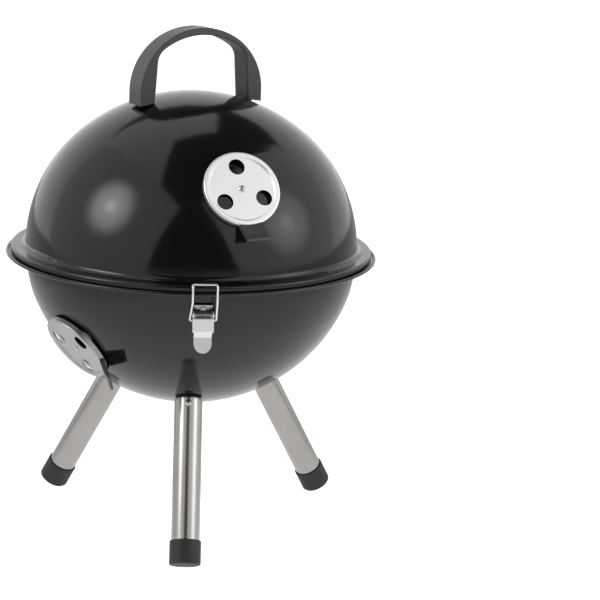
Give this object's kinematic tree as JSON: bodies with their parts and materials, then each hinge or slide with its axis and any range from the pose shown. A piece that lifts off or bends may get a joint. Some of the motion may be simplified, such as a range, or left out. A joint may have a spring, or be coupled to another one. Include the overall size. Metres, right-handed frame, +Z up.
{
  "type": "kettle charcoal grill",
  "caption": "Small tabletop kettle charcoal grill with a domed lid, toggle latches, a damper in each shell and a tripod of tube legs.",
  "frame": {"origin": "on the floor, on the kettle's axis", "axes": "+Z up along the kettle's axis; -Y towards the front latch and the front leg"},
  "size_m": [0.3399, 0.345, 0.462],
  "materials": {
    "enamel": "gloss black porcelain enamel",
    "moulded_plastic": "fine matte texture",
    "fastener_steel": "plain zinc plated",
    "grate_wire": "plated wire",
    "black_steel": "black, satin",
    "leg_steel": "drawn tube, lightly brushed",
    "foot_rubber": "matte",
    "damper_sheet": "satin",
    "latch_steel": "bright plated"
  },
  "bodies": {
    "bowl": {"bowl_shell": "enamel", "cooking_grate_brackets": "black_steel", "charcoal_grate_brackets": "black_steel", "leg_screws": "fastener_steel", "latch_rivets": "fastener_steel", "bowl_damper_screw": "fastener_steel", "bowl_damper_spacer": "fastener_steel", "bowl_damper_nut": "fastener_steel", "front_leg_tube": "leg_steel", "front_leg_stub": "black_steel", "right_leg_tube": "leg_steel", "right_leg_stub": "black_steel", "left_leg_tube": "leg_steel", "left_leg_stub": "black_steel", "front_foot_cap": "foot_rubber", "right_foot_cap": "foot_rubber", "left_foot_cap": "foot_rubber", "front_latch_base": "latch_steel", "front_latch_pin": "latch_steel", "rear_latch_base": "latch_steel", "rear_latch_pin": "latch_steel"},
    "lid": {"lid_shell": "enamel", "lid_handle": "moulded_plastic", "handle_screws": "fastener_steel", "handle_washers": "fastener_steel", "lid_damper_screw": "fastener_steel", "lid_damper_spacer": "fastener_steel", "lid_damper_nut": "fastener_steel"},
    "lid_damper": {"lid_damper_disc": "damper_sheet", "lid_damper_grip": "moulded_plastic"},
    "bowl_damper": {"bowl_damper_disc": "damper_sheet", "bowl_damper_grip": "moulded_plastic"},
    "cooking_grate": {"cooking_grate": "grate_wire", "cooking_grate_rods": "grate_wire", "cooking_grate_grips": "grate_wire"},
    "charcoal_grate": {"charcoal_grate": "grate_wire"},
    "front_lever": {"front_latch_lever": "latch_steel"},
    "front_bail": {"front_latch_bail": "latch_steel"},
    "rear_lever": {"rear_latch_lever": "latch_steel"},
    "rear_bail": {"rear_latch_bail": "latch_steel"}
  },
  "joints": [
    {"name": "lid_lift", "type": "slide", "parent": "bowl", "child": "lid", "axis": [0, 0, 1], "range_m": [0, 0.07]},
    {"name": "lid_damper_turn", "type": "hinge", "parent": "lid", "child": "lid_damper", "pos_m": [0.0411, -0.12356, 0.33808], "axis": [0.2617, -0.7867, 0.5592], "range_deg": [-60, 60]},
    {"name": "bowl_damper_turn", "type": "hinge", "parent": "bowl", "child": "bowl_damper", "pos_m": [-0.10025, -0.08118, 0.18233], "axis": [-0.6389, -0.5174, -0.5693], "range_deg": [-60, 60]},
    {"name": "cooking_grate_lift", "type": "slide", "parent": "bowl", "child": "cooking_grate", "axis": [0, 0, 1], "range_m": [0, 0.04]},
    {"name": "charcoal_grate_lift", "type": "slide", "parent": "bowl", "child": "charcoal_grate", "axis": [0, 0, 1], "range_m": [0, 0.05]},
    {"name": "front_lever_hinge", "type": "hinge", "parent": "bowl", "child": "front_lever", "pos_m": [0.01108, -0.1546, 0.235], "axis": [0.9974, 0.0715, 0], "range_deg": [-105.5, 0]},
    {"name": "front_bail_hinge", "type": "hinge", "parent": "front_lever", "child": "front_bail", "pos_m": [0.01091, -0.15221, 0.229], "axis": [0.9974, 0.0715, 0], "range_deg": [0, 231.5]},
    {"name": "rear_lever_hinge", "type": "hinge", "parent": "bowl", "child": "rear_lever", "pos_m": [-0.01108, 0.1546, 0.235], "axis": [-0.9974, -0.0715, 0], "range_deg": [-105.5, 0]},
    {"name": "rear_bail_hinge", "type": "hinge", "parent": "rear_lever", "child": "rear_bail", "pos_m": [-0.01091, 0.15221, 0.229], "axis": [-0.9974, -0.0715, 0], "range_deg": [0, 231.5]}
  ],
  "couplings": [
    {"joint": "front_lever_hinge", "follows": "lid_lift", "rad_per_m": -26.18},
    {"joint": "front_bail_hinge", "follows": "lid_lift", "rad_per_m": 57.596},
    {"joint": "rear_lever_hinge", "follows": "lid_lift", "rad_per_m": -26.18},
    {"joint": "rear_bail_hinge", "follows": "lid_lift", "rad_per_m": 57.596}
  ]
}
